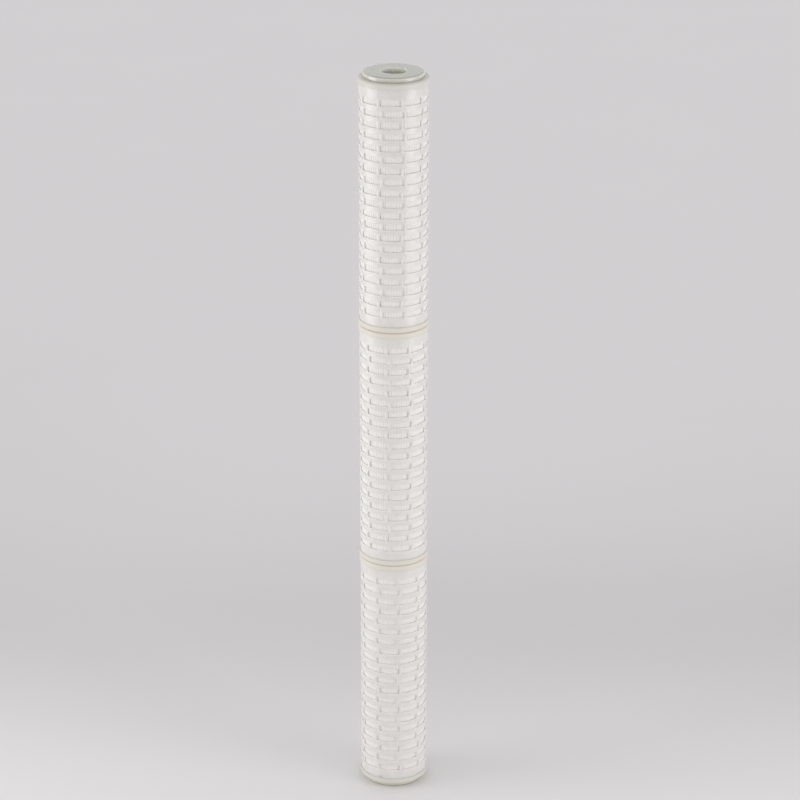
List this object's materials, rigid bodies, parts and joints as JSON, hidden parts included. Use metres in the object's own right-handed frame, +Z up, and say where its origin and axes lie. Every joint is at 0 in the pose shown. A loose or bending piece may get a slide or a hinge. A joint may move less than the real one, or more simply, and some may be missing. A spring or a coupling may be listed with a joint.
{
  "type": "pleated filter cartridge",
  "caption": "Tall round pleated filter cartridge, double open end: slotted white guards, welded caps, flat seal at each end.",
  "frame": {"origin": "centre of the lower gasket's sealing face, on the cartridge's axis", "axes": "+Z up along the axis, +X and +Y alike apart from the turn of the cages"},
  "size_m": [0.071, 0.071, 0.772],
  "materials": {
    "gasket": "translucent greyish silicone, smooth",
    "cap": "cream polypropylene, satin",
    "cage": "white polypropylene, satin",
    "core": "white polypropylene, satin",
    "media": "white non-woven pleated sheet"
  },
  "bodies": {
    "root": {"lower_gasket": "gasket", "upper_gasket": "gasket", "lower_section_bottom_cap": "cap", "lower_section_top_cap": "cap", "middle_section_bottom_cap": "cap", "middle_section_top_cap": "cap", "upper_section_bottom_cap": "cap", "upper_section_top_cap": "cap", "lower_cage": "cage", "middle_cage": "cage", "upper_cage": "cage", "lower_core": "core", "middle_core": "core", "upper_core": "core", "lower_pleated_pack": "media", "middle_pleated_pack": "media", "upper_pleated_pack": "media"}
  },
  "joints": []
}
